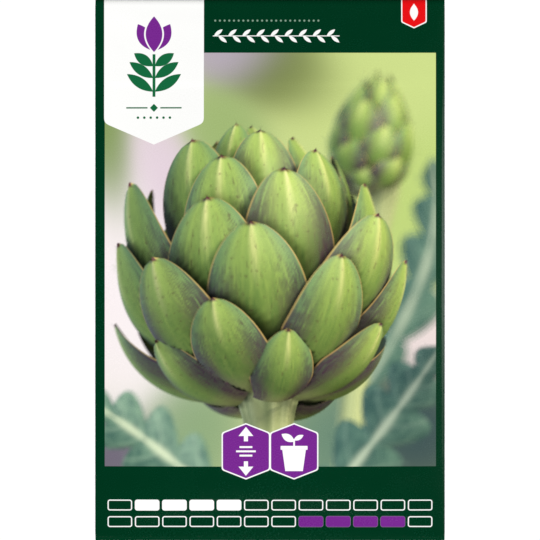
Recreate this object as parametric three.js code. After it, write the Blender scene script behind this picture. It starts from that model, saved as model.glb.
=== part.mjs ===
// A flat seed packet: one printed paper blank folded into a pouch, three dried glue lines that hold it shut,
// and the loose artichoke seeds inside.
// Millimetres, +Z up. The packet lies on its back: the printed front looks up, the top of the print is
// towards +Y, and the origin is on the resting surface under the middle of the back.
import * as THREE from "three";

// Driving dimensions of the folded packet
const PACKET_WIDTH = 82;
const PACKET_HEIGHT = 127;
const PAPER = 0.15;
const TOP_FLAP = 20;
const BOTTOM_FLAP = 14;
const FLAP_TAPER = 3; // how far each side of a flap has run in at its free edge
const SEAM_LAP = 12;
const SEAM_INSET = 1; // the back panel's free edge stops this far short of the left fold
const END_TRIM = 0.9; // the back panel and the seam lap stop this far short of the packet's ends
const CORNER_INSET = 0.15; // the end folds stop this far short of the packet's sides

// Dried glue between two layers of paper
const GLUE = 0.06;
const GLUE_CLEARANCE = 0.04;
const GLUE_WIDTH = 6;
const GLUE_INSET = 3; // from the free edge that it holds down
const FLAP_GLUE_HALF = 30; // the flap glue lines stop this far from the centre line

// How the filled pouch swells
const POCKET = 0.4; // clear height inside along the folds
const SWELL = 3.6; // rise of the front above its folds where the seeds lie
const SWELL_CROWN = 2.6; // exponent across the width: higher is fuller towards the sides
const SWELL_TOP = 1.6; // exponent along the height: higher thins the pouch faster towards the top
const EDGE_LIFT = 0.3; // the side folds stand this far off the surface
const EDGE_LIFT_REACH = 14;
const STEP_REACH = 10; // length over which the back comes down from a flap to the surface

// Loose seeds
const SEED_LENGTH = 7;
const SEED_WIDTH = 3.9;
const SEED_FLATTENING = 0.72; // thickness over width
const SEED_SIDES = 10;
const SEED_CLEARANCE = 0.05;
const SEED_FIELD = { x: -1, y: -37, stepX: 12, stepY: 9.5 };
const SEEDS_IN_ROWS = [4, 3, 4, 3];
const SEED_JITTER = 1;

// Fineness of the faceted sheet
const PANEL_CELLS = 16;
const BODY_CELLS = 22;
const LAP_CELLS = 4;
const FOLD_CELLS = 4;
const FLAP_CELLS = 4;

const HALF_WIDTH = PACKET_WIDTH / 2;
const HALF_HEIGHT = PACKET_HEIGHT / 2;
const BODY_END = HALF_HEIGHT - END_TRIM;
const END_FOLD_HALF = HALF_WIDTH - CORNER_INSET;
const LAYER = PAPER + GLUE + 2 * GLUE_CLEARANCE; // from the middle of one glued layer to the next
const TOP_FLAP_EDGE = HALF_HEIGHT - TOP_FLAP;
const BOTTOM_FLAP_EDGE = -HALF_HEIGHT + BOTTOM_FLAP;
const { smoothstep, lerp } = THREE.MathUtils;

// Heights of the middle of each paper layer, from the outermost on the resting surface to the front
const edgeLift = (x) => EDGE_LIFT * smoothstep(Math.abs(x), HALF_WIDTH - EDGE_LIFT_REACH, HALF_WIDTH);
const flapLevel = (x) => PAPER / 2 + edgeLift(x);

function backLevel(x, y) {
  const overTopFlap = smoothstep(y, TOP_FLAP_EDGE - STEP_REACH, TOP_FLAP_EDGE);
  const overBottomFlap = smoothstep(-y, -BOTTOM_FLAP_EDGE - STEP_REACH, -BOTTOM_FLAP_EDGE);
  return flapLevel(x) + LAYER * Math.max(overTopFlap, overBottomFlap);
}

const lapLevel = (x, y) => backLevel(x, y) + LAYER;

function swell(x, y) {
  const across = 1 - Math.min(1, Math.abs(x) / HALF_WIDTH) ** SWELL_CROWN;
  const along = (share) => share * (1 - share) ** SWELL_TOP;
  const fullest = 1 / (1 + SWELL_TOP);
  const share = THREE.MathUtils.clamp((y + HALF_HEIGHT) / PACKET_HEIGHT, 0, 1);
  return (SWELL * across * along(share)) / along(fullest);
}

const frontLevel = (x, y) => flapLevel(x) + 2 * LAYER + PAPER + POCKET + swell(x, y);

// A half turn of the sheet between two levels, whose outermost surface reaches `limit` from the centre
function halfTurn(limit, upper, lower) {
  const radius = (upper - lower) / 2;
  const start = limit - PAPER / 2 - radius;
  return {
    start,
    out: (angle) => start + radius * Math.sin(angle),
    height: (angle) => (upper + lower) / 2 + radius * Math.cos(angle),
  };
}

const rightFold = (y) => halfTurn(HALF_WIDTH, frontLevel(HALF_WIDTH, y), backLevel(HALF_WIDTH, y));
const leftFold = (y) => halfTurn(HALF_WIDTH, frontLevel(HALF_WIDTH, y), lapLevel(HALF_WIDTH, y));
const endFold = (x, end) => halfTurn(HALF_HEIGHT, frontLevel(x, end * HALF_HEIGHT), flapLevel(x));

// Shares from 0 to 1 in equal steps, or drawn together towards both ends
const evenly = (cells) => Array.from({ length: cells + 1 }, (_, i) => i / cells);
const drawnToEnds = (cells) => evenly(cells).map((share) => (1 - Math.cos(Math.PI * share)) / 2);

// The columns of the blank, from the free edge of the seam lap round to the free edge of the back panel
const COLUMNS = [
  ...evenly(LAP_CELLS).slice(0, -1).map((share) => ({ zone: "lap", share })),
  ...evenly(FOLD_CELLS).slice(0, -1).map((share) => ({ zone: "leftFold", angle: Math.PI * (1 - share) })),
  ...drawnToEnds(PANEL_CELLS).map((share) => ({ zone: "front", share })),
  ...evenly(FOLD_CELLS).slice(1, -1).map((share) => ({ zone: "rightFold", angle: Math.PI * share })),
  ...drawnToEnds(PANEL_CELLS).map((share) => ({ zone: "back", share })),
];

// The rows of the blank, from the free edge of the bottom flap to the free edge of the top flap
const endRows = (end) => [
  ...evenly(FOLD_CELLS).map((share) => ({ zone: "endFold", end, angle: Math.PI * share })),
  ...evenly(FLAP_CELLS).slice(1).map((share) => ({ zone: "flap", end, share })),
];
const ROWS = [
  ...endRows(-1).reverse(),
  ...evenly(BODY_CELLS).map((share) => ({ zone: "body", y: lerp(-BODY_END, BODY_END, share) })),
  ...endRows(1),
];

function placeOnBody(column, y) {
  if (column.zone === "lap") {
    const x = lerp(-HALF_WIDTH + SEAM_LAP, -leftFold(y).start, column.share);
    return new THREE.Vector3(x, y, lapLevel(x, y));
  }
  if (column.zone === "leftFold") {
    const fold = leftFold(y);
    return new THREE.Vector3(-fold.out(column.angle), y, fold.height(column.angle));
  }
  if (column.zone === "rightFold") {
    const fold = rightFold(y);
    return new THREE.Vector3(fold.out(column.angle), y, fold.height(column.angle));
  }
  if (column.zone === "back") {
    const x = lerp(rightFold(y).start, -HALF_WIDTH + SEAM_INSET, column.share);
    return new THREE.Vector3(x, y, backLevel(x, y));
  }
  const x = lerp(-leftFold(y).start, rightFold(y).start, column.share);
  return new THREE.Vector3(x, y, frontLevel(x, y));
}

// The two flaps grow from the front panel alone, over a half turn at each end
function placeOnEnd(column, row) {
  const x = lerp(-END_FOLD_HALF, END_FOLD_HALF, column.share);
  const fold = endFold(x, row.end);
  if (row.zone === "endFold") {
    return new THREE.Vector3(x, row.end * fold.out(row.angle), fold.height(row.angle));
  }
  const freeEdge = row.end > 0 ? TOP_FLAP_EDGE : BOTTOM_FLAP_EDGE;
  const narrowed = x * (1 - (FLAP_TAPER * row.share) / HALF_WIDTH);
  return new THREE.Vector3(narrowed, lerp(row.end * fold.start, freeEdge, row.share), flapLevel(narrowed));
}

// A closed sheet of even thickness on a grid of middle points; place(i, j) is null where there is no sheet
function sheetSolid(columnCount, rowCount, place, covers, thickness) {
  const middle = [];
  for (let i = 0; i < columnCount; i++) {
    middle.push(Array.from({ length: rowCount }, (_, j) => place(i, j)));
  }
  const at = (i, j) => middle[i]?.[j] ?? null;
  const along = (i, j, di, dj) => {
    const after = at(i + di, j + dj) ?? at(i, j);
    return after.clone().sub(at(i - di, j - dj) ?? at(i, j));
  };

  const positions = [];
  const numbers = new Map();
  const vertex = (i, j, side) => {
    const key = `${i},${j},${side}`;
    if (!numbers.has(key)) {
      const normal = along(i, j, 1, 0).cross(along(i, j, 0, 1)).normalize();
      numbers.set(key, positions.length / 3);
      positions.push(...at(i, j).clone().addScaledVector(normal, (side * thickness) / 2).toArray());
    }
    return numbers.get(key);
  };

  const triangles = [];
  const quad = (a, b, c, d) => triangles.push(a, b, c, a, c, d);
  const corners = [[0, 0], [1, 0], [1, 1], [0, 1]];
  const neighbours = [[0, -1], [1, 0], [0, 1], [-1, 0]];
  for (let i = 0; i < columnCount - 1; i++) {
    for (let j = 0; j < rowCount - 1; j++) {
      if (!covers(i, j)) continue;
      const outer = corners.map(([di, dj]) => vertex(i + di, j + dj, 1));
      const inner = corners.map(([di, dj]) => vertex(i + di, j + dj, -1));
      quad(...outer);
      triangles.push(inner[0], inner[2], inner[1], inner[0], inner[3], inner[2]);
      neighbours.forEach(([di, dj], side) => {
        if (covers(i + di, j + dj)) return;
        const next = (side + 1) % 4;
        quad(outer[next], outer[side], inner[side], inner[next]);
      });
    }
  }
  const geometry = new THREE.BufferGeometry();
  geometry.setAttribute("position", new THREE.Float32BufferAttribute(positions, 3));
  geometry.setIndex(triangles);
  geometry.computeVertexNormals();
  return geometry;
}

function paperGeometry() {
  const onBody = (j) => ROWS[j]?.zone === "body";
  const onFront = (i) => COLUMNS[i]?.zone === "front";
  const place = (i, j) => {
    if (onBody(j)) return placeOnBody(COLUMNS[i], ROWS[j].y);
    return onFront(i) ? placeOnEnd(COLUMNS[i], ROWS[j]) : null;
  };
  const covers = (i, j) => {
    if (i < 0 || j < 0 || i >= COLUMNS.length - 1 || j >= ROWS.length - 1) return false;
    return (onBody(j) && onBody(j + 1)) || (onFront(i) && onFront(i + 1));
  };
  return sheetSolid(COLUMNS.length, ROWS.length, place, covers, PAPER);
}

// A glue line over a rectangle of the packet, with its middle at level(x, y)
function glueGeometry(left, right, low, high, columnCells, rowCells, level) {
  const xs = evenly(columnCells).map((share) => lerp(left, right, share));
  const ys = evenly(rowCells).map((share) => lerp(low, high, share));
  const place = (i, j) => (xs[i] === undefined || ys[j] === undefined
    ? null : new THREE.Vector3(xs[i], ys[j], level(xs[i], ys[j])));
  const covers = (i, j) => i >= 0 && j >= 0 && i < columnCells && j < rowCells;
  return sheetSolid(xs.length, ys.length, place, covers, GLUE);
}

function seamGlueGeometry() {
  const right = -HALF_WIDTH + SEAM_LAP - GLUE_INSET;
  const rowStep = (2 * BODY_END) / BODY_CELLS;
  return glueGeometry(right - GLUE_WIDTH, right, -BODY_END + rowStep, BODY_END - rowStep, 3, BODY_CELLS - 2,
    (x, y) => backLevel(x, y) + LAYER / 2);
}

function flapGlueGeometry(freeEdge, end) {
  const near = freeEdge + end * GLUE_INSET;
  const far = near + end * GLUE_WIDTH;
  return glueGeometry(-FLAP_GLUE_HALF, FLAP_GLUE_HALF, Math.min(near, far), Math.max(near, far), PANEL_CELLS, 1,
    (x) => flapLevel(x) + LAYER / 2);
}

// One seed lies along Y: a narrow base, a full shoulder, and the small collar that the down sat on
function seedGeometry() {
  const radius = SEED_WIDTH / 2;
  const half = SEED_LENGTH / 2;
  const profile = [
    [0, -1], [0.42, -0.93], [0.74, -0.55], [0.95, 0], [1, 0.4], [0.86, 0.78], [0.62, 0.9], [0.6, 1], [0, 1],
  ].map(([out, up]) => new THREE.Vector2(out * radius, up * half));
  return new THREE.LatheGeometry(profile, SEED_SIDES).scale(1, 1, SEED_FLATTENING);
}

// Repeatable random numbers from 0 to 1
function seededRandom(seed) {
  let state = seed;
  return () => {
    state = (Math.imul(state, 1664525) + 1013904223) >>> 0;
    return state / 2 ** 32;
  };
}

const paper = new THREE.MeshStandardMaterial({ color: 0x01351e, roughness: 0.45, metalness: 0 });
const driedGlue = new THREE.MeshStandardMaterial({ color: 0xd9cfae, roughness: 0.35, metalness: 0 });
const seedCoat = new THREE.MeshStandardMaterial({ color: 0x7b6a4a, roughness: 0.6, metalness: 0 });

function namedMesh(name, geometry, material) {
  const mesh = new THREE.Mesh(geometry, material);
  mesh.name = name;
  return mesh;
}

// Staggered rows of seeds on the inside of the back, each turned and shifted a little
function scatteredSeeds() {
  const random = seededRandom(41);
  const seeds = new THREE.Group();
  const geometry = seedGeometry();
  const height = PAPER + SEED_CLEARANCE + (SEED_WIDTH * SEED_FLATTENING) / 2;
  SEEDS_IN_ROWS.forEach((count, row) => {
    for (let i = 0; i < count; i++) {
      const number = String(seeds.children.length + 1).padStart(2, "0");
      const seed = namedMesh(`seed_${number}`, geometry, seedCoat);
      const shift = () => SEED_JITTER * (2 * random() - 1);
      const x = SEED_FIELD.x + (i - (count - 1) / 2) * SEED_FIELD.stepX;
      seed.position.set(x + shift(), SEED_FIELD.y + row * SEED_FIELD.stepY + shift(), height);
      seed.rotation.z = Math.PI * 2 * random();
      seeds.add(seed);
    }
  });
  return seeds;
}

const packet = new THREE.Group();
packet.add(
  namedMesh("paper_packet", paperGeometry(), paper),
  namedMesh("glue_seam", seamGlueGeometry(), driedGlue),
  namedMesh("glue_top_flap", flapGlueGeometry(TOP_FLAP_EDGE, 1), driedGlue),
  namedMesh("glue_bottom_flap", flapGlueGeometry(BOTTOM_FLAP_EDGE, -1), driedGlue),
  scatteredSeeds(),
);

export default packet;
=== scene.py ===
"""Looks of a folded-paper seed packet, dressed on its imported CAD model.

The paper is one blank. It is cut out and printed while it lies flat, and then it is folded into the pouch.
Lengths are millimetres unless a name says otherwise, and the finished mesh is in metres."""
import math
from functools import partialmethod

import bpy
import numpy as np
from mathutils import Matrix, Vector
from mathutils.bvhtree import BVHTree


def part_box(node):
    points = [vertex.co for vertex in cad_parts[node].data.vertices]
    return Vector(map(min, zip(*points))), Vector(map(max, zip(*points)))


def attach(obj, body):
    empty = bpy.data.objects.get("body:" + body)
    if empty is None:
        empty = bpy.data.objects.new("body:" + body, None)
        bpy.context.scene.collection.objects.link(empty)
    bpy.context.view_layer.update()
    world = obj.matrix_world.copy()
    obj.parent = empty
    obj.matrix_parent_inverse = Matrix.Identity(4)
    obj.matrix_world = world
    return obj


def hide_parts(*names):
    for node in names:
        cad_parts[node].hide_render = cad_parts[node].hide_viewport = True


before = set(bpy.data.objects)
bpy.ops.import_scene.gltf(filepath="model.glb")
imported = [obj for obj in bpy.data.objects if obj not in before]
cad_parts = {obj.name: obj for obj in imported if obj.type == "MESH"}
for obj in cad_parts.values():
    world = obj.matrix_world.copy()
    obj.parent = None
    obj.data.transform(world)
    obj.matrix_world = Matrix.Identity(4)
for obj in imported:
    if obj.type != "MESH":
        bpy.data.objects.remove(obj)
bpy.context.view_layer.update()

MILLIMETRE = 0.001

# Folded packet, with the sizes of its CAD model
PACKET_LOW, PACKET_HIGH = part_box("paper_packet")
HALF_WIDTH = (PACKET_HIGH.x - PACKET_LOW.x) / 2 / MILLIMETRE
HALF_HEIGHT = (PACKET_HIGH.y - PACKET_LOW.y) / 2 / MILLIMETRE
PAPER = 0.15
LAYER = 0.29
TOP_FLAP = 20.0
BOTTOM_FLAP = 14.0
FLAP_TAPER = 3.0
SEAM_LAP = 12.0
SEAM_INSET = 1.0
END_ROLL = 1.3
END_TRIM = 1.42
CORNER_INSET = 0.05
POCKET = 0.4
SWELL = 3.6
SWELL_CROWN = 2.6
SWELL_TOP = 1.6
EDGE_LIFT = 0.3
EDGE_LIFT_REACH = 14.0
STEP_REACH = 10.0
BODY_END = HALF_HEIGHT - END_TRIM
END_FOLD_HALF = HALF_WIDTH - CORNER_INSET
TOP_FLAP_EDGE = HALF_HEIGHT - TOP_FLAP
BOTTOM_FLAP_EDGE = -HALF_HEIGHT + BOTTOM_FLAP
FOLD_RADIUS = LAYER + (PAPER + POCKET) / 2
PANEL_HALF_WIDTH = HALF_WIDTH - PAPER / 2 - FOLD_RADIUS
PANEL_HALF_HEIGHT = HALF_HEIGHT - PAPER / 2 - END_ROLL
BORDER_GIVE = 1.4
BACK_GIVE = 3.6
SIDE_ROLL = 1.8

# Small relief of the paper over what lies behind it
SEED_BUMP = 0.16
SEED_BUMP_REACH = 4.2
FLAP_RIDGE = 0.09
FLAP_RIDGE_REACH = 0.9
BUCKLE = 0.20
BUCKLE_SIZE = 19.0
FINE_BUCKLE, FINE_BUCKLE_TIMES = 0.4, 2.7
CREASE = 0.16
CREASE_WIDTH = 2.6
CREASE_LENGTH = 30.0
CREASE_TURNS = (22, 41, 63)
ARCH_RISE = 9.0
ARCH_DEPTH = 0.5
ARCH_REACH = 2.2
RELIEF_EDGE = 5.0

# Flat blank: the front panel is centred on its origin, and a fold takes up half of its circle or oval
FOLD = math.pi * FOLD_RADIUS
END_FOLD = math.pi * math.hypot(FOLD_RADIUS, END_ROLL) / math.sqrt(2)
BACK_START = PANEL_HALF_WIDTH + FOLD
FLAP_START = PANEL_HALF_HEIGHT + END_FOLD
BACK_PANEL = PANEL_HALF_WIDTH + HALF_WIDTH - SEAM_INSET
BLANK_LEFT = -BACK_START - SEAM_LAP
BLANK_RIGHT = BACK_START + BACK_PANEL
BLANK_LOW = -FLAP_START - BOTTOM_FLAP
BLANK_HIGH = FLAP_START + TOP_FLAP
FOLD_CELLS = 10
END_FOLD_CELLS = 12

# Picture window on the front panel, and the contrasts past which its cells are split in turn
PICTURE_LEFT, PICTURE_RIGHT = -38.74, 38.9
PICTURE_LOW, PICTURE_HIGH = -45.99, 50.94
PICTURE_MIDDLE = np.array([PICTURE_LEFT + PICTURE_RIGHT, PICTURE_LOW + PICTURE_HIGH]) / 2
PICTURE_HALF = np.array([PICTURE_RIGHT - PICTURE_LEFT, PICTURE_HIGH - PICTURE_LOW]) / 2
PICTURE_BLEED = 1.6
CONTRAST_LIMITS = (0.014, 0.042, 0.105)

# The camera and the light of the picture
GOLDEN_TURN = math.radians(137.508)
KEY_LIGHT = np.array([0.66, -0.50, 0.62])
FILL_LIGHT = np.array([-0.80, -0.45, 0.25])
SUN_TINT = 1.42 * np.array([1.0, 0.97, 0.86])
COOL_TINT = 0.50 * np.array([0.72, 0.92, 1.30])
SKY_TINT = 0.30 * np.array([0.92, 1.0, 1.05])
BOUNCE_TINT = 0.48 * np.array([1.0, 0.98, 0.92])
GLOSS_TINT = 0.085 * np.array([1.0, 1.0, 0.9])
SKIM_COLOUR, SKIM_SHARE = (160, 196, 214), 0.22
LOOK_DOWN = math.radians(17)
VIEW_DISTANCE = 320.0
FOCUS_DEPTH = -18.0
LENS_RADIUS = 3.6
LENS_POINTS = 16
BUSY_LENS_POINTS = 4
FILTER_RADIUS = 0.17
SUN_SPREAD = 0.2
RAY_LENGTH = 900.0
SURFACE_LIFT = 0.25
GRAZING = 0.05
SKY_RAYS, SKY_REACH, SKY_FADE = 26, 26.0, 0.7
SHADOW_START, SHADOW_REACH = 0.6, 34.0
SHADOW_DARK, SHADOW_FADE = 0.06, 0.5
DISPLAY_POWER = 0.45

# How a pictured bract changes from the lowest of the spiral, 0, to the innermost, 1
RISE = (0, 0.15, 0.4, 0.65, 0.85, 1)
BASE_RADIUS = (6, 8, 12, 11, 9, 6)
BASE_HEIGHT = (-31, -28, -19, -9, -1, 5)
BELLY_RADIUS = (19, 30, 36, 33, 25, 13)
BELLY_HEIGHT = (-33, -27, -13, 3, 15, 25)
TIP_RADIUS = (23, 33, 33, 23, 12.5, 3)
TIP_HEIGHT = (-21, -8, 11, 24, 31, 34)
BRACT_HALF_WIDTH = (8.5, 11.8, 13.4, 12.2, 9, 5)
BRACT_KEEL = 0.5

# The heart of a pictured head from its foot up, and the grids of the pictured pieces
CORE_RADIUS = (3, 10, 15, 12, 4)
CORE_HEIGHT = (-30, -25, -14, 4, 16)
BRACT_GRID = (34, 20)
LEAF_GRID = (90, 14)
STEM_GRID = (24, 36)
STEM_RIBS, LEAF_LOBES = 9, 5
BRACT, STEM, LEAF = 0, 1, 2

# The pictured plants, with places as (across, deep, up)
# A head has its centre, scale, number of bracts, opening, lean in degrees, first turn and seed
HEADS = (
    ((-3, 0, -2), 1.04, 44, 1.0, -4, -1.3, 11),
    ((24, 95, 31), 0.46, 30, 0.80, 10, 2.2, 71),
)
# A stem has its path from the head down and its radius
STEMS = (
    (((-1, -6, -24), (-0.5, -8, -40), (1, -5, -60)), 5.6),
    (((26, 95, 20), (23, 97, 2), (16, 95, -60)), 3.0),
)
# A leaf has its path from the root to the tip and its half width
LEAVES = (
    (((8, 70, -60), (30, 68, -34), (40, 50, -18)), 9),
    (((-6, 60, -60), (-26, 56, -40), (-44, 44, -30)), 9),
    (((20, 130, -30), (44, 126, 4), (38, 120, 26)), 7),
)

# Soft blurs of the pictured garden: centre, reach, turn in degrees and display colour
BLURS = (
    ((26, 42), (22, 14), 25, (208, 224, 140)),
    ((36, 12), (13, 22), 0, (194, 216, 124)),
    ((2, 47), (15, 8), -20, (112, 124, 70)),
    ((-10, 30), (8, 11), 20, (160, 184, 116)),
    ((-24, 20), (7, 14), 22, (228, 208, 222)),
    ((-38, 30), (5, 17), 8, (124, 150, 78)),
    ((-33, -4), (14, 26), 0, (253, 243, 246)),
    ((36, -14), (9, 9), 0, (244, 224, 228)),
    ((34, -37), (13, 13), 0, (46, 72, 80)),
    ((15, -40), (9, 10), 15, (104, 136, 116)),
    ((-20, -38), (9, 12), -15, (138, 166, 122)),
    ((-36, -43), (10, 8), 0, (100, 90, 114)),
    ((-8, 51), (9, 6), 0, (198, 182, 206)),
)
BLUR_GROUND = (196, 208, 150)

# Inks, as display colours
GROUND_GREEN = (0, 51, 28)
GROUND_GREEN_LIGHT = (1, 54, 31)
WHITE = (253, 253, 251)
SPRIG_GREEN = (22, 104, 62)
BADGE_PURPLE = (119, 41, 143)
TAG_RED = (232, 18, 22)
STRIP_GREEN = (132, 160, 140)
BACK_CREAM = (236, 238, 224)
INK_EDGE = 0.07

# Fine tooth of the paper, its broader mottle, and wear from its start to its full strength beside a fold
TOOTH_SCALE, MOTTLE_SHARE = 2600.0, 0.06
WEAR_REACH, WEAR_CORNER, WEAR_SHARE = (0.5, 0.05), (7.0, 1.0), 0.22

# Other finishes, as display colours
WORN_FIBRE = (226, 224, 214)
PAPER_WHITE, PAPER_WHITE_LIGHT = (236, 233, 224), (248, 246, 240)
GLUE_AMBER, GLUE_PALE = (206, 192, 150), (228, 219, 190)
SEED_TAN, SEED_BROWN, SEED_STREAK = (146, 126, 92), (112, 92, 62), (58, 44, 30)
FLOOR_GREY, FLOOR_WHITE = (251, 251, 251), (254, 254, 254)

# Printed shapes of the front, from the panel's centre, with the pennants' ink running round the end fold
PENNANT_TOP = PANEL_HALF_HEIGHT + 0.55 * END_FOLD
BANNER_MIDDLE, BANNER_HALF = -27.2, 11.7
BANNER_SHOULDER, BANNER_POINT = 34.45, 29.38
BANNER_ROUNDING = 1.6
BANNER_SPRIG_HEIGHT, BANNER_DIVIDER_HEIGHT = 40.6, 38.0
BUD_GAP = 0.38
TAG_MIDDLE, TAG_HALF = 33.77, 3.0
TAG_SHOULDER, TAG_POINT = 58.08, 56.66
TAG_OUTLINE, TAG_ROUNDING = 0.27, 0.5
TAG_SEED_FOOT, TAG_SEED_LENGTH, TAG_SEED_HALF = 58.5, 3.9, 0.95
VINE_LEFT, VINE_RIGHT, VINE_HEIGHT, VINE_PITCH = -13.4, 16.3, 54.9, 3.3
VINE_STEM_HALF, VINE_LEAF, VINE_LEAF_HALF = 0.1, 2.5, 0.42
VINE_ROOTS_AND_TURNS = ((0.3, 38), (1.3, -38))
DOTS_RISE, DOTS_PITCH, DOTS_RADIUS, DOTS_SHORTER = 3.6, 1.1, 0.24, 4.4
HEXAGON_APART = 5.63
HEXAGON_HEIGHT = -42.4
HEXAGON_HALF, HEXAGON_SHOULDER, HEXAGON_POINT = 5.69, 4.4, 6.64
HEXAGON_OUTLINE, HEXAGON_ROUNDING = 0.3, 0.8
MONTHS, MONTH_PITCH, MONTH_GAP = 12, 6.4, 0.9
MONTH_HALF_HEIGHT, MONTH_ROUNDING, MONTH_LINE = 1.15, 0.45, 0.13
SOWING_ROW, SOWING_MONTHS = -55.1, (1, 4)
HARVEST_ROW, HARVEST_MONTHS = -59.0, (7, 10)

# Printed shapes of the back, from the back panel's centre
BACK_PANEL_MIDDLE = BACK_START + BACK_PANEL / 2
BACK_HALF_WIDTH, BACK_HALF_HEIGHT, BACK_HEIGHT, BACK_ROUNDING = 36.5, 42.0, -3.0, 2.0
BACK_SPRIG_HEIGHT = 14.5
BACK_MONTH_PITCH, BACK_CALENDAR_HEIGHT = 5.6, 6.4
PICTOGRAM_RADIUS, PICTOGRAM_PITCH, PICTOGRAM_HEIGHT = 6.2, 19.0, -8.2
NOTE_TOP, NOTE_PITCH, NOTE_LINES = -20.4, 4.4, 5
NOTE_HALF_WIDTH, NOTE_LINE_HALF = 31.0, 0.09

# Framing: how much of each end is outside the frame, and the height of the ends
FRAME_TRIM, END_HEIGHT = 0.1, 0.7


# Small helpers for numbers and colours

def linear(red, green, blue):
    """A display colour of 0 to 255 as linear light."""
    share = np.array([red, green, blue]) / 255
    return np.where(share <= 0.04045, share / 12.92, ((share + 0.055) / 1.055) ** 2.4)


def rgba(display):
    """A display colour as the value of a colour socket."""
    return (*linear(*display), 1.0)


def blend(first, second, share):
    """Mixes two colours by one share for each point."""
    return first + (second - first) * np.asarray(share)[:, None]


def ease(low, high, value):
    """Smooth step from 0 at low to 1 at high."""
    share = np.clip((value - low) / (high - low), 0, 1)
    return share * share * (3 - 2 * share)


def unit(vectors):
    """Vectors along the last axis, brought to length 1."""
    return vectors / (np.linalg.norm(vectors, axis=-1, keepdims=True) + 1e-12)


def lattice(i, j, seed):
    """A repeatable value of 0 to 1 for each pair of whole numbers."""
    wave = np.sin(i * 127.1 + j * 311.7 + seed * 74.7) * 43758.5453
    return wave - np.floor(wave)


def mottle(x, y, seed):
    """Smooth noise of 0 to 1 with unit cells."""
    i, j = np.floor(x), np.floor(y)
    u, v = ease(0, 1, x - i), ease(0, 1, y - j)
    low = lattice(i, j, seed) * (1 - u) + lattice(i + 1, j, seed) * u
    high = lattice(i, j + 1, seed) * (1 - u) + lattice(i + 1, j + 1, seed) * u
    return low * (1 - v) + high * v


# The pictured artichokes: modelled here, ray cast into the print, and not kept

def curve(path, s):
    """Points of a curve with one bend, and its direction, at shares s along it."""
    start, middle, end = (np.array(point, float) for point in path)
    line = (1 - s) ** 2 * start + 2 * s * (1 - s) * middle + s ** 2 * end
    direction = unit(2 * (1 - s) * (middle - start) + 2 * s * (end - middle))
    return line, direction


def shares(rows, columns, first, last):
    """Shares down, 0 to 1, and across, first to last, of a grid."""
    down = np.linspace(0, 1, rows)[:, None]
    across = np.linspace(first, last, columns)[None, :]
    return down, across


def at_rise(rise, *measures):
    """What a bract measures at its rise in the spiral."""
    return np.array([np.interp(rise, RISE, measure) for measure in measures])


def bract_grid(rise, azimuth, wobble, opening):
    """Points of one spoon-shaped bract, with its shares along and across."""
    base = at_rise(rise, BASE_RADIUS, BASE_HEIGHT)
    belly = at_rise(rise, BELLY_RADIUS, BELLY_HEIGHT) * (opening, 1)
    tip = at_rise(rise, TIP_RADIUS, TIP_HEIGHT) * (opening ** 2.5, 1) + wobble.normal(0, (1.0, 1.3))
    half_width = at_rise(rise, BRACT_HALF_WIDTH)[0] * wobble.normal(1, 0.06)
    s, t = shares(*BRACT_GRID, -1, 1)
    s = s ** 0.9
    line, slope = curve((base, belly, tip), s)
    outward = np.stack([slope[:, 1], -slope[:, 0]], 1)
    outline = (0.6 + 0.4 * ease(0, 0.45, s)) * np.clip(1 - s ** 4.2, 0, 1) ** 0.62
    cup = half_width * 1.28
    angle = half_width * outline * t / cup
    lift = BRACT_KEEL * np.exp(-(t / 0.2) ** 2) * ease(0.4, 1, s) - cup * (1 - np.cos(angle))
    side = cup * np.sin(angle) + wobble.normal(0, 1.2) * s ** 2
    radius = line[:, :1] + outward[:, :1] * lift
    height = line[:, 1:] + outward[:, 1:] * lift
    x = radius * math.cos(azimuth) - side * math.sin(azimuth)
    y = radius * math.sin(azimuth) + side * math.cos(azimuth)
    return np.stack([x, y, height], -1), *np.broadcast_arrays(s, t)


def rings(radius, height, t):
    """Points of level rings, at shares t of the way round."""
    around = 2 * math.pi * t
    return np.stack([radius * np.cos(around), radius * np.sin(around), height + 0 * around], -1)


def stem_grid(path, radius):
    """Points of a ribbed stem along a curve, flared where it meets its head."""
    s, t = shares(*STEM_GRID, 0, 1)
    line, _ = curve(path, s)
    ribs = 1 + 0.05 * np.cos(STEM_RIBS * 2 * math.pi * t)
    points = rings(radius * (1 + 0.5 * ease(0.4, 0, s)) * ribs, 0 * s, t)
    return points + line[:, None, :], *np.broadcast_arrays(s, t)


def core_grid():
    """Points of the solid heart that the bracts stand on."""
    s, t = shares(*STEM_GRID, 0, 1)
    rise = np.linspace(0, 1, len(CORE_RADIUS))
    radius, height = np.interp(1 - s, rise, CORE_RADIUS), np.interp(1 - s, rise, CORE_HEIGHT)
    return rings(radius, height, t), *np.broadcast_arrays(s, t)


def leaf_grid(path, half_width):
    """Points of a long leaf along a curve, cut into lobes that sweep forwards."""
    s, t = shares(*LEAF_GRID, -1, 1)
    line, along = curve(path, s)
    side = unit(np.cross(along, (0.25, -1.0, 0.2)))
    cut = 0.30 + 0.70 * abs(np.sin(math.pi * LEAF_LOBES * s)) ** 0.7
    outline = half_width * np.sin(math.pi * s ** 0.8) ** 0.7 * cut + 0.5
    points = line[:, None, :] + (outline * t)[..., None] * side[:, None, :]
    points = points + (0.55 * outline * abs(t) ** 1.5)[..., None] * along[:, None, :]
    points[..., 1] += 0.3 * t ** 2 * outline
    return points, *np.broadcast_arrays(s, t)


def viewed(lean):
    """Turns a head to be seen a little from above, and leans it in the picture."""
    cosine, sine = math.cos(LOOK_DOWN), math.sin(LOOK_DOWN)
    down = np.array([[1, 0, 0], [0, cosine, sine], [0, -sine, cosine]])
    cosine, sine = math.cos(lean), math.sin(lean)
    return np.array([[cosine, 0, sine], [0, 1, 0], [-sine, 0, cosine]]) @ down


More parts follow.
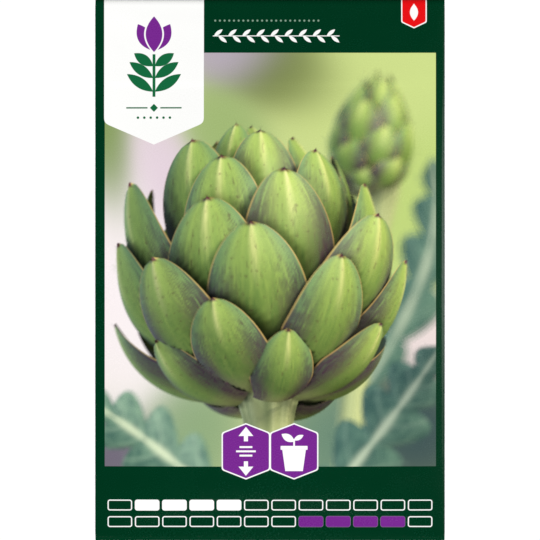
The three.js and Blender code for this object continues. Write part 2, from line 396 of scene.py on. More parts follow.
class Sitter:
    """What the picture shows: one mesh for ray casting, with notes for shading at each of its points."""

    def __init__(self):
        self.points, self.notes, self.triangles = [], [], []
        self.count = 0

    def add(self, grid, kind, number, ring=False):
        """Adds a grid of points, closed round on itself if it is a ring."""
        points, s, t = grid
        across = np.roll(points, -1, 1) - np.roll(points, 1, 1) if ring else np.gradient(points, axis=1)
        normals = unit(np.cross(across, np.gradient(points, axis=0)))
        marks = np.stack(np.broadcast_arrays(s, t, kind, number), -1)
        self.notes.append(np.concatenate([normals, marks], -1).reshape(-1, 7))
        self.points.append(points.reshape(-1, 3))
        rows, columns = s.shape
        i, j = np.meshgrid(np.arange(rows - 1), np.arange(columns if ring else columns - 1), indexing="ij")
        first = self.count + i * columns + j
        second = self.count + i * columns + (j + 1) % columns
        corners = [first, second, second + columns, first, second + columns, first + columns]
        self.triangles.append(np.stack(corners, -1).reshape(-1, 3))
        self.count += rows * columns

    def add_head(self, centre, scale, bracts, opening, lean, first_turn, seed):
        """Adds the bracts of a head on a golden-angle spiral."""
        wobble = np.random.default_rng(seed)
        turn = viewed(math.radians(lean))
        for number in range(bracts):
            azimuth = first_turn + number * GOLDEN_TURN + wobble.normal(0, 0.06)
            points, s, t = bract_grid(number / (bracts - 1), azimuth, wobble, opening)
            self.add((points * scale @ turn.T + np.array(centre), s, t), BRACT, number + seed)
        points, s, t = core_grid()
        self.add((points * scale @ turn.T + np.array(centre), s, t), STEM, seed, ring=True)

    def finish(self):
        """Joins what was added and works out how open each point is."""
        self.points = np.concatenate(self.points)
        self.notes = np.concatenate(self.notes)
        self.triangles = np.concatenate(self.triangles)
        self.tree = BVHTree.FromPolygons(self.points.tolist(), self.triangles.tolist(), all_triangles=True)
        self.openness = self.sky_shares()

    def sky_shares(self):
        """How much of the light around reaches each point, by rays over the half that faces the viewer."""
        rays = [Vector(ray) for ray in unit(np.random.default_rng(5).normal(size=(SKY_RAYS, 3)))]
        facing = np.where(self.notes[:, 1:2] > 0, -1, 1) * self.notes[:, :3]
        share = np.zeros(len(self.points))
        for n, (point, normal) in enumerate(zip(self.points, facing)):
            up = Vector(normal)
            origin = Vector(point) + up * SURFACE_LIFT
            seen, total = 0.0, 1e-6
            for ray in rays:
                weight = ray.dot(up)
                if weight < GRAZING:
                    continue
                total += weight
                distance = self.tree.ray_cast(origin, ray, SKY_REACH)[3]
                seen += weight * (1 if distance is None else SKY_FADE * distance / SKY_REACH)
            share[n] = seen / total
        return share

    def cast(self, origins, directions, key):
        """Triangle, place and sunlight for each ray, with triangle -1 where it meets nothing."""
        triangle = np.full(len(origins), -1)
        place = np.zeros((len(origins), 3))
        sun = np.ones(len(origins))
        lift = key * SHADOW_START + Vector((0, -SURFACE_LIFT, 0))
        ray_cast = self.tree.ray_cast
        for n, (origin, direction) in enumerate(zip(origins.tolist(), directions.tolist())):
            point, _, face, _ = ray_cast(Vector(origin), Vector(direction), RAY_LENGTH)
            if face is None:
                continue
            triangle[n] = face
            place[n] = point
            distance = ray_cast(point + lift, key, SHADOW_REACH)[3]
            if distance is not None:
                sun[n] = SHADOW_DARK + SHADOW_FADE * distance / SHADOW_REACH
        return triangle, place, sun

    def corner_weights(self, triangle, place):
        """Weights of a triangle's three corners at a place on it."""
        corners = self.points[self.triangles[triangle]] - place[:, None]
        across = np.cross(np.roll(corners, -1, 1), np.roll(corners, -2, 1))
        areas = np.linalg.norm(across, axis=-1) + 1e-12
        return areas / areas.sum(1, keepdims=True)

    def colours(self, origins, directions, key):
        """Colour that each ray sees with the sun towards its key, and whether it meets the sitter."""
        triangle, place, sun = self.cast(origins, directions, key)
        hit = triangle >= 0
        weights = self.corner_weights(triangle[hit], place[hit])
        corners = self.triangles[triangle[hit]]
        notes = np.einsum("ijk,ij->ik", self.notes[corners], weights)
        openness = np.einsum("ij,ij->i", self.openness[corners], weights)
        colours = np.zeros((len(origins), 3))
        colours[hit] = shaded(notes, openness, sun[hit])
        return colours, hit


def coated(ground, *coats):
    """Lays display colours over a ground colour, each by its share at every point."""
    colour = linear(*ground)
    for tint, share in coats:
        colour = blend(colour, linear(*tint), share)
    return colour


def bract_colour(s, t, number):
    """Fibrous green bract with a pale rib and foot, violet lower corners, a dry rim and a dark spine."""
    fibre = mottle(t * 30 + number * 17, s * 4.5 + number * 3, 1)
    fine = mottle(t * 74 + number * 7, s * 18 + number, 2)
    fleck = mottle(t * 27 + number * 5, s * 34 + number, 3)
    tone = lattice(number, 3 * number, 4)
    edge = abs(t)
    rib = np.exp(-(t / (0.05 + 0.06 * s)) ** 2) * ease(0.55, 0.97, s) * (0.3 + 0.7 * fine)
    reach = s + 0.5 * (fine - 0.5) + 0.2 * (fibre - 0.5) - 0.3 * (tone - 0.5)
    flush = ease(0.98, 0.50, reach) * ease(0.10, 0.75, edge + 0.3 * (fibre - 0.5))
    rim = np.maximum(ease(0.955, 0.99, edge) * ease(0.2, 0.4, s), ease(0.978, 0.993, s))
    spine = ease(0.965, 0.985, s) * ease(0.55, 0.25, edge)
    return coated(
        (88, 118, 58),
        ((138, 160, 76), 0.6 * fibre + 0.4 * fine),
        ((172, 190, 98), ease(0.45, 1.0, s) * (0.35 + 0.35 * tone)),
        ((84, 120, 96), ease(0.35, 1.0, edge) * 0.6),
        ((166, 164, 104), ease(0.34, 0.05, s) * 0.6),
        ((232, 222, 150), rib * 0.75),
        ((72, 20, 66), flush * (0.45 + 0.55 * fine)),
        ((84, 62, 50), ease(0.84, 0.94, fleck) * 0.5),
        ((206, 170, 100), rim * 0.8),
        ((88, 46, 52), spine))


def leaf_colour(s, t, number):
    """Grey-green leaf with pale side veins and a pale midrib."""
    vein = abs((s * 9 - abs(t) * 0.55) % 1 - 0.5)
    return coated(
        (60, 92, 82),
        ((98, 128, 108), mottle(t * 9 + number, s * 30, 6)),
        ((140, 164, 140), ease(0.1, 0.0, vein) * 0.5),
        ((186, 196, 166), np.exp(-(t / 0.11) ** 2)))


def stem_colour(s, t):
    """Pale ribbed stem."""
    return coated((140, 150, 98), ((196, 200, 142), mottle(t * 60, s * 4, 8)))


def shaded(notes, openness, sun):
    """Colour of the sitter in the picture's warm sun and cool fill."""
    normal = unit(notes[:, :3])
    s, t = notes[:, 3], notes[:, 4]
    kind, number = np.round(notes[:, 5])[:, None], np.round(notes[:, 6])
    inner = normal[:, 1:2] > 0
    normal = np.where(inner, -normal, normal)
    colour = bract_colour(s, t, number)
    colour = np.where(inner, 0.45 * colour + 0.2 * linear(120, 140, 84), colour)
    colour = np.where(kind == STEM, stem_colour(s, t), colour)
    colour = np.where(kind == LEAF, leaf_colour(s, t, number), colour)
    key, fill = unit(KEY_LIGHT), unit(FILL_LIGHT)
    direct = np.clip((normal @ key) * 0.88 + 0.12, 0, 1) * sun
    cool = np.clip((normal @ fill) * 0.7 + 0.3, 0, 1) * openness
    sky = (0.5 + 0.5 * normal[:, 2]) * openness
    bounce = (0.5 - 0.5 * normal[:, 2]) * openness
    light = np.outer(direct, SUN_TINT) + np.outer(cool, COOL_TINT)
    light += np.outer(sky, SKY_TINT) + np.outer(bounce, BOUNCE_TINT)
    colour = colour * light * (0.14 + 0.86 * openness ** 1.3)[:, None]
    gloss = np.clip(normal @ unit(key + np.array([0, -1, 0])), 0, 1) ** 18 * sun * openness
    skim = np.clip(1 + normal[:, 1], 0, 1) ** 3 * cool
    colour += np.outer(gloss, GLOSS_TINT) + np.outer(SKIM_SHARE * skim, linear(*SKIM_COLOUR))
    return np.clip(colour, 0, 1)


def backdrop(x, y):
    """The garden behind, far out of focus."""
    weights = np.full(len(x), 0.05)
    colour = np.outer(weights, linear(*BLUR_GROUND))
    for (at_x, at_y), (reach_x, reach_y), turn, tint in BLURS:
        cosine, sine = math.cos(math.radians(turn)), math.sin(math.radians(turn))
        u = ((x - at_x) * cosine + (y - at_y) * sine) / reach_x
        v = ((y - at_y) * cosine - (x - at_x) * sine) / reach_y
        weight = np.exp(-1.5 * (u * u + v * v))
        weights = weights + weight
        colour = colour + np.outer(weight, linear(*tint))
    return colour / weights[:, None]


def pose_sitter():
    """A full head in front, a closed bud behind it, their stems and lobed leaves."""
    sitter = Sitter()
    for head in HEADS:
        sitter.add_head(*head)
    for number, (path, radius) in enumerate(STEMS):
        sitter.add(stem_grid(path, radius), STEM, number, ring=True)
    for number, (path, half_width) in enumerate(LEAVES, 1):
        sitter.add(leaf_grid(path, half_width), LEAF, number)
    sitter.finish()
    return sitter


def spread_on_disc(count):
    """Points spread evenly over a disc of radius 1."""
    n = np.arange(count)
    radius = np.sqrt((n + 0.5) / count)
    return np.stack([radius * np.cos(n * GOLDEN_TURN), radius * np.sin(n * GOLDEN_TURN)], 1)


def picture_colours(sitter, x, y, count):
    """Colour of the picture at each place, through a lens focused on the near head, in a broad sun."""
    lens = spread_on_disc(count) * LENS_RADIUS
    grain = spread_on_disc(count)[::-1]
    behind = backdrop(x, y)
    total = np.zeros((len(x), 3))
    for (lens_x, lens_y), (grain_x, grain_y) in zip(lens, grain):
        aim_x, aim_y = x + FILTER_RADIUS * grain_x, y + FILTER_RADIUS * grain_y
        focus = np.stack([aim_x, np.full(len(x), FOCUS_DEPTH), aim_y], 1)
        origin = focus + np.array([lens_x, -VIEW_DISTANCE, lens_y])
        key = Vector(KEY_LIGHT + SUN_SPREAD * np.array([grain_y, 0, grain_x])).normalized()
        colours, hit = sitter.colours(origin, unit(focus - origin), key)
        total += np.where(hit[:, None], colours, behind)
    return total / count


# Heights of the middle of each paper layer, from the outermost on the resting surface to the front

def flap_level(x):
    return PAPER / 2 + EDGE_LIFT * ease(HALF_WIDTH - EDGE_LIFT_REACH, HALF_WIDTH, abs(x))


def over_flaps(y, before, after):
    """Share of 0 to 1 of the way onto an end flap, from before its free edge to after it."""
    top = ease(TOP_FLAP_EDGE - before, TOP_FLAP_EDGE + after, y)
    bottom = ease(-BOTTOM_FLAP_EDGE - before, -BOTTOM_FLAP_EDGE + after, -y)
    return np.maximum(top, bottom)


def back_level(x, y):
    return flap_level(x) + LAYER * over_flaps(y, STEP_REACH, 0)


def lap_level(x, y):
    return back_level(x, y) + LAYER


def swell_along(share):
    return share * (1 - share) ** SWELL_TOP


def swell(x, y):
    """How far the seeds push the front out."""
    across = 1 - np.minimum(1, abs(x) / HALF_WIDTH) ** SWELL_CROWN
    share = np.clip((y + PANEL_HALF_HEIGHT) / (2 * PANEL_HALF_HEIGHT), 0, 1)
    return SWELL * across * swell_along(share) / swell_along(1 / (1 + SWELL_TOP))


def seed_bumps(x, y):
    """The front drawn softly over each seed."""
    bumps = np.zeros_like(x)
    for name in sorted(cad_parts):
        if name.startswith("seed"):
            low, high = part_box(name)
            middle = (low + high) / 2 / MILLIMETRE
            squared = ((x - middle.x) ** 2 + (y - middle.y) ** 2) / SEED_BUMP_REACH ** 2
            bumps += SEED_BUMP * np.exp(-squared)
    return bumps


def corner_creases(x, y):
    """Faint creases that run in from the four corners, where the flat ends meet the swollen pouch."""
    creases = np.zeros_like(x)
    for number, turn in enumerate(CREASE_TURNS * 4):
        side, end = ((1, 1), (-1, 1), (1, -1), (-1, -1))[number // len(CREASE_TURNS)]
        angle = math.radians(turn + 7 * math.sin(number * 2.4))
        in_x, in_y = HALF_WIDTH - side * x, HALF_HEIGHT - end * y
        along = in_x * math.cos(angle) + in_y * math.sin(angle)
        off = (in_y * math.cos(angle) - in_x * math.sin(angle)) / CREASE_WIDTH
        length = CREASE_LENGTH * (0.7 + 0.3 * math.sin(number * 1.7))
        ridge = np.exp(-abs(off) ** 1.4) * ease(1, 6, along) * ease(length, length * 0.35, along)
        creases += CREASE * math.cos(number * 2.1) * ridge
    return creases


def pressed_arch(x, y):
    """The front pressed flat below an arch that runs up from the two bottom corners."""
    arch = -HALF_HEIGHT + ARCH_RISE * (1 - (x / HALF_WIDTH) ** 2)
    return -ARCH_DEPTH * ease(ARCH_REACH, -ARCH_REACH, y - arch)


def front_relief(x, y):
    """Small unevenness of the front panel, fading out at its folds."""
    ridge = over_flaps(y, FLAP_RIDGE_REACH, FLAP_RIDGE_REACH)
    u, v = x / BUCKLE_SIZE, y / BUCKLE_SIZE
    fine = mottle(u * FINE_BUCKLE_TIMES, v * FINE_BUCKLE_TIMES, 22) - 0.5
    buckle = mottle(u + 7, v + 3, 21) - 0.5 + FINE_BUCKLE * fine
    relief = seed_bumps(x, y) + corner_creases(x, y) + pressed_arch(x, y)
    relief = relief + FLAP_RIDGE * ridge + BUCKLE * buckle
    sides = ease(0, RELIEF_EDGE, PANEL_HALF_WIDTH - abs(x))
    ends = ease(0, RELIEF_EDGE, PANEL_HALF_HEIGHT - abs(y))
    return relief * sides * ends


def front_level(x, y):
    return flap_level(x) + 2 * LAYER + PAPER + POCKET + swell(x, y)


# Folding the flat blank

class SideFold:
    """The turn at a side from the front to a lower layer: an oval that carries on the front's slope."""

    def __init__(self, y, lower_level):
        fullness = swell(np.zeros_like(y), y)
        flatness = 1 + SIDE_ROLL * fullness / SWELL
        self.first_angle = np.arctan(fullness * SWELL_CROWN / HALF_WIDTH * flatness)
        lower = lower_level(np.full_like(y, HALF_WIDTH), y)
        self.front_end = np.full_like(y, PANEL_HALF_WIDTH)
        for _ in range(4):
            self.depth = (front_level(self.front_end, y) - lower) / (1 + np.cos(self.first_angle))
            self.width = self.depth * flatness
            self.middle = HALF_WIDTH - PAPER / 2 - self.width
            self.front_end = self.middle + self.width * np.sin(self.first_angle)
        self.height = lower + self.depth

    def place(self, share, offset):
        """Place out from the packet's middle and height, at shares of the way round."""
        angle = self.first_angle + (math.pi - self.first_angle) * share
        out = self.middle + (self.width + offset) * np.sin(angle)
        return out, self.height + (self.depth + offset) * np.cos(angle)


def across_front(a, half):
    """Place across of a column of the blank: its green border alone takes up where the fold has moved to."""
    give = ease(PANEL_HALF_WIDTH - BORDER_GIVE, PANEL_HALF_WIDTH, abs(a))
    return a + np.sign(a) * (half - PANEL_HALF_WIDTH) * give


def fold_front(a, y, offset):
    start = np.where(a > 0, SideFold(y, back_level).front_end, SideFold(y, lap_level).front_end)
    half = start + (END_FOLD_HALF - start) * ease(BODY_END, PANEL_HALF_HEIGHT, abs(y))
    x = across_front(a, half)
    return x, y, front_level(x, y) + front_relief(x, y) + offset


def fold_side(a, y, offset, side, lower_level):
    out, height = SideFold(y, lower_level).place((abs(a) - PANEL_HALF_WIDTH) / FOLD, offset)
    return side * out, y, height


def fold_back(a, y, offset, length, free_edge, side, level):
    """The back panel or the seam lap: its border alone takes up where the fold has moved to."""
    along = abs(a) - BACK_START
    start = side * PANEL_HALF_WIDTH
    x = start + (free_edge - start) * along / length
    x = x + (side * SideFold(y, level).middle - start) * ease(BACK_GIVE, 0, along)
    return x, y, level(x, y) - offset


def fold_end(a, b, offset):
    x = across_front(a, END_FOLD_HALF)
    angle = math.pi * (abs(b) - PANEL_HALF_HEIGHT) / END_FOLD
    y = np.sign(b) * (PANEL_HALF_HEIGHT + (END_ROLL + offset) * np.sin(angle))
    middle = flap_level(x) + FOLD_RADIUS
    return x, y, middle + (FOLD_RADIUS + offset) * np.cos(angle)


def fold_flap(a, b, offset):
    end = np.sign(b)
    length = np.where(end > 0, TOP_FLAP, BOTTOM_FLAP)
    free_edge = np.where(end > 0, TOP_FLAP_EDGE, BOTTOM_FLAP_EDGE)
    share = (abs(b) - FLAP_START) / length
    x = across_front(a, END_FOLD_HALF) * (1 - FLAP_TAPER * share / HALF_WIDTH)
    start = end * PANEL_HALF_HEIGHT
    return x, start + (free_edge - start) * share, flap_level(x) - offset


def folded(a, b, offset):
    """Where points of the flat blank come to lie, each offset outwards from the middle of the paper."""
    points = np.zeros((len(a), 3))
    on_ends = abs(b) > PANEL_HALF_HEIGHT
    turned = abs(b) > FLAP_START
    right, left = a > PANEL_HALF_WIDTH, a < -PANEL_HALF_WIDTH
    back, lap = a > BACK_START, a < -BACK_START

    def zone(where, fold, *rest):
        points[where] = np.stack(fold(a[where], b[where], offset[where], *rest), 1)

    zone(~on_ends & ~right & ~left, fold_front)
    zone(right & ~back, fold_side, 1, back_level)
    zone(left & ~lap, fold_side, -1, lap_level)
    zone(back, fold_back, BACK_PANEL, SEAM_INSET - HALF_WIDTH, 1, back_level)
    zone(lap, fold_back, SEAM_LAP, SEAM_LAP - HALF_WIDTH, -1, lap_level)
    zone(on_ends & ~turned, fold_end)
    zone(turned, fold_flap)
    return points


# Cutting, printing and closing the blank

def stations(start, *stretches):
    """Grid lines from a start through stretches of (end, cells)."""
    lines = [start]
    for end, cells in stretches:
        lines.extend(np.linspace(lines[-1], end, cells + 1)[1:])
    return np.array(lines)


BLANK_COLUMNS = stations(
    BLANK_LEFT, (-BACK_START - BACK_GIVE, 4), (-BACK_START, 4), (-PANEL_HALF_WIDTH, FOLD_CELLS),
    (PANEL_HALF_WIDTH, 56), (BACK_START, FOLD_CELLS), (BACK_START + BACK_GIVE, 4), (BLANK_RIGHT, 34))
BLANK_ROWS = stations(
    BLANK_LOW, (-FLAP_START, 7), (-PANEL_HALF_HEIGHT, END_FOLD_CELLS), (-BODY_END, 1), (BODY_END, 86),
    (PANEL_HALF_HEIGHT, 1), (FLAP_START, END_FOLD_CELLS), (BLANK_HIGH, 10))


def read(items, field, kind, width=1):
    """One field of each of a mesh's points, faces or corners."""
    values = np.zeros(len(items) * width, kind)
    items.foreach_get(field, values)
    return values.reshape(-1, width) if width > 1 else values


def points_of(mesh):
    return read(mesh.vertices, "co", np.float32, 3).astype(float)


def face_middles(mesh):
    return read(mesh.polygons, "center", np.float32, 3).astype(float)


def corner_points(mesh):
    return read(mesh.loops, "vertex_index", np.int32)


def set_points(mesh, places):
    mesh.vertices.foreach_set("co", places.astype(np.float32).ravel())
    mesh.update()


def choose(*pieces):
    """Selects just these pieces, and makes the first of them active."""
    bpy.ops.object.select_all(action="DESELECT")
    for piece in reversed(pieces):
        piece.select_set(True)
        bpy.context.view_layer.objects.active = piece


def select_faces(mesh, chosen):
    """Selects just these faces, while the mesh is out of edit mode."""
    mesh.vertices.foreach_set("select", np.zeros(len(mesh.vertices), bool))
    mesh.edges.foreach_set("select", np.zeros(len(mesh.edges), bool))
    mesh.polygons.foreach_set("select", chosen)


def edit_faces(sheet, operator, **settings):
    """Runs one edit-mode operator on the faces that are selected."""
    choose(sheet)
    bpy.ops.object.mode_set(mode="EDIT")
    bpy.ops.mesh.select_mode(type="FACE")
    operator(**settings)
    bpy.ops.object.mode_set(mode="OBJECT")


def cut_blank():
    """The flat blank as a grid, with the corners beside the flaps cut away."""
    choose()
    columns, rows = len(BLANK_COLUMNS) - 1, len(BLANK_ROWS) - 1
    bpy.ops.mesh.primitive_grid_add(x_subdivisions=columns, y_subdivisions=rows, size=1)
    sheet = bpy.context.active_object
    places = points_of(sheet.data)
    places[:, 0] = BLANK_COLUMNS[np.rint((places[:, 0] + 0.5) * columns).astype(int)]
    places[:, 1] = BLANK_ROWS[np.rint((places[:, 1] + 0.5) * rows).astype(int)]
    set_points(sheet.data, places)
    middles = face_middles(sheet.data)
    beside_flaps = (abs(middles[:, 0]) > PANEL_HALF_WIDTH) & (abs(middles[:, 1]) > BODY_END)
    select_faces(sheet.data, beside_flaps)
    edit_faces(sheet, bpy.ops.mesh.delete, type="FACE")
    return sheet


def painted(sitter, places, count):
    """Picture colours at places on the blank, and black outside the picture."""
    colours = np.zeros((len(places), 3))
    inside = (abs(places[:, :2] - PICTURE_MIDDLE) < PICTURE_HALF + PICTURE_BLEED).all(1)
    colours[inside] = picture_colours(sitter, places[inside, 0], places[inside, 1], count)
    return colours


def busy_faces(mesh, sitter, limit):
    """Faces over which the picture's display colour changes by more than the limit."""
    at_points = painted(sitter, points_of(mesh), BUSY_LENS_POINTS) ** DISPLAY_POWER
    at_middles = painted(sitter, face_middles(mesh), BUSY_LENS_POINTS) ** DISPLAY_POWER
    corners = corner_points(mesh)
    starts = read(mesh.polygons, "loop_start", np.int32)
    totals = np.diff(np.append(starts, len(corners)))
    change = abs(at_points[corners] - np.repeat(at_middles, totals, axis=0)).max(1)
    return np.maximum.reduceat(change, starts) > limit


def print_picture(sheet, sitter):
    """Splits the blank's cells where the picture is busy, and lays its colours on their points."""
    for limit in CONTRAST_LIMITS:
        select_faces(sheet.data, busy_faces(sheet.data, sitter, limit))
        edit_faces(sheet, bpy.ops.mesh.subdivide, number_cuts=1)
    count = LENS_POINTS
    colours = np.ones((len(sheet.data.vertices), 4), np.float32)
    colours[:, :3] = painted(sitter, points_of(sheet.data), count)
    layer = sheet.data.color_attributes.new("picture", "FLOAT_COLOR", "POINT")
    layer.data.foreach_set("color", colours.ravel())


def add_lining(sheet):
    """A copy of the blank, one paper thickness behind it and facing away, for the inside of the packet."""
    lining = sheet.copy()
    lining.data = sheet.data.copy()
    bpy.context.collection.objects.link(lining)
    places = points_of(lining.data)
    places[:, 2] = -PAPER
    set_points(lining.data, places)
    select_faces(lining.data, np.ones(len(lining.data.polygons), bool))
    edit_faces(lining, bpy.ops.mesh.flip_normals)
    return lining


def close_cut_edges(sheet, lining):
    """Joins the blank and its lining by walls along every cut edge."""
    choose(sheet, lining)
    bpy.ops.object.join()
    bpy.ops.object.mode_set(mode="EDIT")
    bpy.ops.mesh.select_mode(type="EDGE")
    bpy.ops.mesh.select_all(action="DESELECT")
    bpy.ops.mesh.select_non_manifold()
    bpy.ops.mesh.bridge_edge_loops()
    bpy.ops.object.mode_set(mode="OBJECT")


def map_blank(mesh):
    """Gives the mesh the flat blank as its UV map, from 0 to 1 each way."""
    places = points_of(mesh)[corner_points(mesh)]
    u = (places[:, 0] - BLANK_LEFT) / (BLANK_RIGHT - BLANK_LEFT)
    v = (places[:, 1] - BLANK_LOW) / (BLANK_HIGH - BLANK_LOW)
    layer = mesh.uv_layers.new(name="blank")
    layer.data.foreach_set("uv", np.stack([u, v], 1).astype(np.float32).ravel())


def make_packet():
    """The folded packet, with its outside printed and its inside and cut edges bare."""
    sitter = pose_sitter()
    sheet = cut_blank()
    lining = add_lining(sheet)
    print_picture(sheet, sitter)
    close_cut_edges(sheet, lining)
    mesh = sheet.data
    while mesh.uv_layers:
        mesh.uv_layers.remove(mesh.uv_layers[0])
    map_blank(mesh)
    outside = face_middles(mesh)[:, 2] > -PAPER / 4
    places = points_of(mesh)
    set_points(mesh, folded(places[:, 0], places[:, 1], PAPER / 2 + places[:, 2]) * MILLIMETRE)
    mesh.materials.append(printed_paper())
    mesh.materials.append(bare_paper())
    mesh.polygons.foreach_set("material_index", np.where(outside, 0, 1).astype(np.int32))
    choose(sheet)
    bpy.ops.object.shade_smooth_by_angle(angle=math.radians(40))
    sheet.name = "printed_packet"
    mesh.name = "printed_packet"
    return sheet


# Node helpers

def plug(tree, socket, value):
    """Feeds a socket with a value that varies, or sets it to a plain one."""
    if isinstance(value, Value):
        tree.links.new(value.socket, socket)
    else:
        socket.default_value = value


class Value:
    """A number or colour that varies over the surface. Arithmetic on it lays Math nodes in its tree."""

    def __init__(self, tree, socket):
        self.tree = tree
        self.socket = socket

    def apply(self, operation, *others, clamp=False):
        node = self.tree.nodes.new("ShaderNodeMath")
        node.operation = operation
        node.use_clamp = clamp
        for socket, value in zip(node.inputs, (self, *others)):
            plug(self.tree, socket, value)
        return Value(self.tree, node.outputs[0])

    __add__ = partialmethod(apply, "ADD")
    __sub__ = partialmethod(apply, "SUBTRACT")
    __mul__ = partialmethod(apply, "MULTIPLY")
    __truediv__ = partialmethod(apply, "DIVIDE")
    __abs__ = partialmethod(apply, "ABSOLUTE")
    __neg__ = partialmethod(apply, "MULTIPLY", -1.0)
    least = partialmethod(apply, "MINIMUM")
    most = partialmethod(apply, "MAXIMUM")


def feed(tree, node, inputs):
    """Feeds or sets the named inputs of a node."""
    for name, value in inputs.items():
        plug(tree, node.inputs[name], value)


def new_node(tree, kind, inputs=None, **settings):
    node = tree.nodes.new(kind)
    for name, value in settings.items():
        setattr(node, name, value)
    feed(tree, node, inputs or {})
    return node


def mixed(tree, under, over, share):
    """One colour over another by a share of 0 to 1."""
    node = new_node(tree, "ShaderNodeMix", data_type="RGBA")
    for socket, value in zip((node.inputs[0], node.inputs[6], node.inputs[7]), (share, under, over)):
        plug(tree, socket, value)
    return Value(tree, node.outputs[2])


def noise(tree, scale, detail=2.0):
    """Noise on the object's own coordinates."""
    where = Value(tree, new_node(tree, "ShaderNodeTexCoord").outputs["Object"])
    node = new_node(tree, "ShaderNodeTexNoise", {"Vector": where, "Scale": scale, "Detail": detail})
    return Value(tree, node.outputs["Fac"])


def away(x, y):
    """Distance from a centre."""
    return (x * x + y * y).apply("SQRT")


def between(value, low, high):
    """Share from 0 to 1 of a value's way from low to high, which may run down."""
    return ((value - low) / (high - low)).apply("ADD", 0.0, clamp=True)


def node_group(name, inputs, outputs, build):
    """A shader node group whose named values go through build."""
    tree = bpy.data.node_groups.new(name, "ShaderNodeTree")
    for title in inputs:
        tree.interface.new_socket(title, in_out="INPUT", socket_type="NodeSocketFloat")
    for title in outputs:
        tree.interface.new_socket(title, in_out="OUTPUT", socket_type="NodeSocketFloat")
    entry = tree.nodes.new("NodeGroupInput")
    way_out = tree.nodes.new("NodeGroupOutput")
    results = build(*(Value(tree, entry.outputs[title]) for title in inputs))
    for title, result in zip(outputs, results):
        plug(tree, way_out.inputs[title], result)
    return tree


def placed(group, tree, *values):
    """Places a node group in a tree with its own values, and gives its outputs."""
    node = tree.nodes.new("ShaderNodeGroup")
    node.node_tree = group
    for socket, value in zip(node.inputs, values):
        plug(tree, socket, value)
    results = [Value(tree, socket) for socket in node.outputs]
    return results[0] if len(results) == 1 else results


# Printed shapes, each as the distance to its outline, negative inside

def badge_outline(across, down, half, shoulder, point, rounding):
    """Upright sides that close to a point below the shoulder."""
    across = abs(across)
    run = point - shoulder
    slant = (across * run + (down - point) * half) / (run * run + half * half).apply("SQRT")
    return [(across - half).apply("SMOOTH_MAX", slant, rounding)]


def leaf_outline(x, y, root_x, root_y, turn, length, half):
    """A leaf with two pointed ends that grows from its root in the direction of its turn."""
    x, y = x - root_x, y - root_y
    cosine, sine = turn.apply("COSINE"), turn.apply("SINE")
    share = (x * cosine + y * sine) / length
    return [abs(y * cosine - x * sine) - share * (-share + 1.0) * half * 4.0]


def bar_outline(x, y, half_width, half_height, rounding):
    """A rectangle with rounded corners."""
    beyond_x = abs(x) - half_width + rounding
    beyond_y = abs(y) - half_height + rounding
    out_x, out_y = beyond_x.most(0.0), beyond_y.most(0.0)
    return [away(out_x, out_y) + beyond_x.most(beyond_y).least(0.0) - rounding]


def paper_tooth(scale):
    """Fine uneven tooth of paper and a broader mottle."""
    return [noise(scale.tree, scale, detail=3.0), noise(scale.tree, scale * MOTTLE_SHARE)]


BADGE = node_group("badge_shape", ("Across", "Down", "Half", "Shoulder", "Point", "Rounding"),
                   ("Distance",), badge_outline)
LEAF_SHAPE = node_group("leaf_shape", ("X", "Y", "Root X", "Root Y", "Turn", "Length", "Half"),
                        ("Distance",), leaf_outline)
BAR = node_group("bar_shape", ("X", "Y", "Half Width", "Half Height", "Rounding"),
                 ("Distance",), bar_outline)
TOOTH = node_group("paper_tooth", ("Scale",), ("Tooth", "Mottle"), paper_tooth)


class Print:
    """The print of the blank as it is laid down, ink over ink, in a material's node tree."""

    def __init__(self, tree, x, y, colour):
        self.tree, self.x, self.y = tree, x, y
        self.colour = colour

    def ink(self, display, distance):
        """Inks the inside of a shape in a display colour or a varying one."""
        over = display if isinstance(display, Value) else rgba(display)
        share = (distance * (-1 / INK_EDGE)).apply("ADD", 0.5, clamp=True)
        self.colour = mixed(self.tree, self.colour, over, share)

    def badge(self, x, down, half, shoulder, point, rounding):
        return placed(BADGE, self.tree, x, down, half, shoulder, point, rounding)

    def bar(self, x, y, half_width, half_height, rounding=0.05):
        return placed(BAR, self.tree, x, y, half_width, half_height, rounding)

    def leaf(self, x, y, root, turn, length, half):
        return placed(LEAF_SHAPE, self.tree, x, y, *root, math.radians(turn), length, half)


def print_window(ink):
    """The picture, inside its window."""
    middle_x, middle_y = PICTURE_MIDDLE
    window = ink.bar(ink.x - middle_x, ink.y - middle_y, *PICTURE_HALF)
    layer = new_node(ink.tree, "ShaderNodeVertexColor", layer_name="picture")
    ink.ink(Value(ink.tree, layer.outputs["Color"]), window)


def print_sprig(ink, x, y, paper):
    """A plain sprig with three pairs of leaves and a purple bud, from its foot up."""
    sprig = ink.bar(x, y - 5.0, half_width=0.34, half_height=5.0)
    for height, length in ((1.2, 7.4), (4.4, 6.7), (7.2, 5.4)):
        sprig = sprig.least(ink.leaf(abs(x), y, root=(0.2, height), turn=34, length=length, half=1.2))
    ink.ink(SPRIG_GREEN, sprig)
    outer_scales = ink.leaf(abs(x), y, root=(0.5, 10.9), turn=62, length=7.0, half=1.7)
    ink.ink(BADGE_PURPLE, outer_scales)
    middle_scale = ink.leaf(x, y, root=(0.0, 10.5), turn=90, length=8.4, half=1.95)
    ink.ink(paper, middle_scale - BUD_GAP)
    ink.ink(BADGE_PURPLE, middle_scale)


def print_dots(ink, along, y, pitch, radius, beyond, display):
    """A row of dots, up to where the distance beyond its ends is positive."""
    dots = away(along.apply("FLOORED_MODULO", pitch) - pitch / 2, y) - radius
    ink.ink(display, dots.most(beyond))


